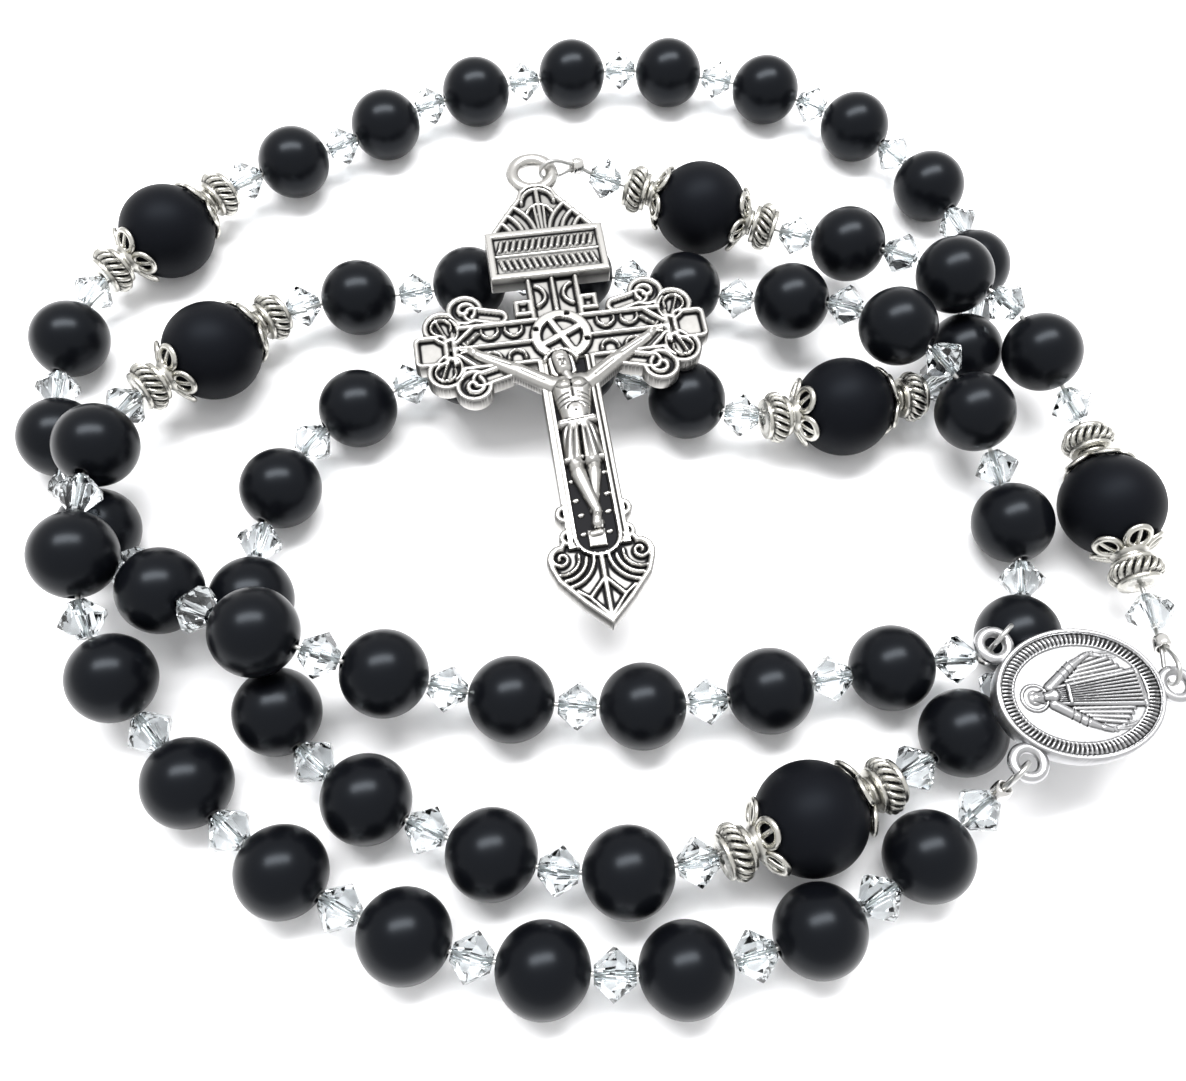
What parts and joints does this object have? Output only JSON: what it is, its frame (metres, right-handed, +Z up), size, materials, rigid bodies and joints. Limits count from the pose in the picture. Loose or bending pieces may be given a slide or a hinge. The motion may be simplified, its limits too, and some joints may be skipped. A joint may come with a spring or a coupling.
{
  "type": "rosary",
  "caption": "Beaded rosary lying in a coil: a decade loop joined by an oval medal, with a short pendant strand and a crucifix.",
  "frame": {"origin": "on the table, under the middle of the coil's outline", "axes": "+Z up from the table, +X to the right and +Y away from the viewer; the rosary lies flat"},
  "size_m": [0.1161, 0.1128, 0.0145],
  "materials": {
    "black_pearl": "satin black pearl coat on glass",
    "matte_black": "matte black",
    "clear_crystal": "clear, cut and polished",
    "antiqued_silver": "cast silver plate, darkened in the recesses",
    "crimp_metal": "plated, pressed flat",
    "beading_wire": "coated stranded steel"
  },
  "bodies": {
    "loop_strand": {"loop_wire": "beading_wire", "loop_crimps": "crimp_metal", "decade_1_pearls": "black_pearl", "decade_2_pearls": "black_pearl", "decade_3_pearls": "black_pearl", "decade_4_pearls": "black_pearl", "decade_5_pearls": "black_pearl", "decade_1_crystals": "clear_crystal", "decade_2_crystals": "clear_crystal", "decade_3_crystals": "clear_crystal", "decade_4_crystals": "clear_crystal", "decade_5_crystals": "clear_crystal", "bead_cap_1a": "antiqued_silver", "bead_cap_1b": "antiqued_silver", "bead_cap_2a": "antiqued_silver", "bead_cap_2b": "antiqued_silver", "bead_cap_3a": "antiqued_silver", "bead_cap_3b": "antiqued_silver", "bead_cap_4a": "antiqued_silver", "bead_cap_4b": "antiqued_silver", "spacers_1": "antiqued_silver", "spacers_2": "antiqued_silver", "spacers_3": "antiqued_silver", "spacers_4": "antiqued_silver"},
    "medal": {"centre_medal": "antiqued_silver"},
    "medal_eye": {"pendant_wire_1": "beading_wire", "medal_end_crimp": "crimp_metal"},
    "link_1": {"pendant_wire_2": "beading_wire", "pendant_crystal_1": "clear_crystal", "bead_cap_5a": "antiqued_silver", "bead_cap_5b": "antiqued_silver", "spacers_5": "antiqued_silver"},
    "link_2": {"pendant_wire_3": "beading_wire", "pendant_crystal_2": "clear_crystal"},
    "link_3": {"pendant_wire_4": "beading_wire", "pendant_crystal_3": "clear_crystal"},
    "link_4": {"pendant_wire_5": "beading_wire", "pendant_crystal_4": "clear_crystal"},
    "link_5": {"pendant_wire_6": "beading_wire", "pendant_crystal_5": "clear_crystal", "bead_cap_6a": "antiqued_silver", "bead_cap_6b": "antiqued_silver", "spacers_6": "antiqued_silver", "pendant_crystal_6": "clear_crystal", "crucifix_end_crimp": "crimp_metal"},
    "crucifix": {"crucifix": "antiqued_silver"},
    "large_bead_1_spin": {"large_bead_1": "matte_black"},
    "large_bead_2_spin": {"large_bead_2": "matte_black"},
    "large_bead_3_spin": {"large_bead_3": "matte_black"},
    "large_bead_4_spin": {"large_bead_4": "matte_black"},
    "large_bead_5_spin": {"large_bead_5": "matte_black"},
    "large_bead_6_spin": {"large_bead_6": "matte_black"},
    "pendant_pearl_1_spin": {"pendant_pearl_1": "black_pearl"},
    "pendant_pearl_2_spin": {"pendant_pearl_2": "black_pearl"},
    "pendant_pearl_3_spin": {"pendant_pearl_3": "black_pearl"}
  },
  "joints": [
    {"name": "medal_tilt", "type": "hinge", "parent": "loop_strand", "child": "medal", "pos_m": [0.03852, -0.02872, 0.0093], "axis": [0.1569, -0.9876, 0], "range_deg": [0, 15]},
    {"name": "pendant_level", "type": "hinge", "parent": "medal", "child": "medal_eye", "pos_m": [0.0543, -0.02474, 0.0093], "axis": [0.1569, -0.9876, 0], "range_deg": [-15, 0]},
    {"name": "flex_1", "type": "hinge", "parent": "medal_eye", "child": "link_1", "pos_m": [0.05473, -0.01971, 0.007], "axis": [0.9999, 0.015, 0], "range_deg": [0, 15]},
    {"name": "flex_2", "type": "hinge", "parent": "link_1", "child": "link_2", "pos_m": [0.05125, 0.00354, 0.00596], "axis": [0.9112, 0.412, 0], "range_deg": [0, 25]},
    {"name": "flex_3", "type": "hinge", "parent": "link_2", "child": "link_3", "pos_m": [0.04446, 0.01296, 0.01066], "axis": [0.6734, 0.7393, 0], "range_deg": [0, 25]},
    {"name": "flex_4", "type": "hinge", "parent": "link_3", "child": "link_4", "pos_m": [0.03466, 0.02019, 0.00979], "axis": [0.5018, 0.865, 0], "range_deg": [0, 25]},
    {"name": "flex_5", "type": "hinge", "parent": "link_4", "child": "link_5", "pos_m": [0.02433, 0.02549, 0.00602], "axis": [0.3316, 0.9434, 0], "range_deg": [0, 25]},
    {"name": "crucifix_swing", "type": "hinge", "parent": "link_5", "child": "crucifix", "pos_m": [-0.00511, 0.03002, 0.00945], "axis": [-0.9774, -0.2113, 0], "range_deg": [0, 35]},
    {"name": "large_bead_1_turn", "type": "hinge", "parent": "loop_strand", "child": "large_bead_1_spin", "pos_m": [-0.03845, 0.00575, 0.00585], "axis": [0.6797, 0.7248, -0.1125], "continuous": true},
    {"name": "large_bead_2_turn", "type": "hinge", "parent": "loop_strand", "child": "large_bead_2_spin", "pos_m": [0.02245, -0.03885, 0.0051], "axis": [-0.8932, -0.4489, 0.0278], "continuous": true},
    {"name": "large_bead_3_turn", "type": "hinge", "parent": "loop_strand", "child": "large_bead_3_spin", "pos_m": [0.02715, 0.0041, 0.00505], "axis": [0.9624, 0.2686, -0.0403], "continuous": true},
    {"name": "large_bead_4_turn", "type": "hinge", "parent": "loop_strand", "child": "large_bead_4_spin", "pos_m": [-0.0469, 0.0218, 0.00505], "axis": [-0.6202, -0.7844, 0.0046], "continuous": true},
    {"name": "large_bead_5_turn", "type": "hinge", "parent": "link_1", "child": "large_bead_5_spin", "pos_m": [0.05296, -0.00628, 0.00608], "axis": [-0.1718, 0.9851, -0.0124], "continuous": true},
    {"name": "large_bead_6_turn", "type": "hinge", "parent": "link_5", "child": "large_bead_6_spin", "pos_m": [0.01182, 0.02885, 0.00617], "axis": [-0.9711, 0.2299, 0.0637], "continuous": true},
    {"name": "pendant_pearl_1_turn", "type": "hinge", "parent": "link_2", "child": "pendant_pearl_1_spin", "pos_m": [0.0471, 0.00991, 0.00865], "axis": [-0.5865, 0.6766, 0.4452], "continuous": true},
    {"name": "pendant_pearl_2_turn", "type": "hinge", "parent": "link_3", "child": "pendant_pearl_2_spin", "pos_m": [0.0382, 0.01781, 0.01046], "axis": [-0.8199, 0.5509, -0.1559], "continuous": true},
    {"name": "pendant_pearl_3_turn", "type": "hinge", "parent": "link_4", "child": "pendant_pearl_3_spin", "pos_m": [0.02793, 0.02375, 0.00751], "axis": [-0.8433, 0.4078, -0.3501], "continuous": true}
  ],
  "couplings": [
    {"joint": "pendant_level", "follows": "medal_tilt", "ratio": -1}
  ]
}
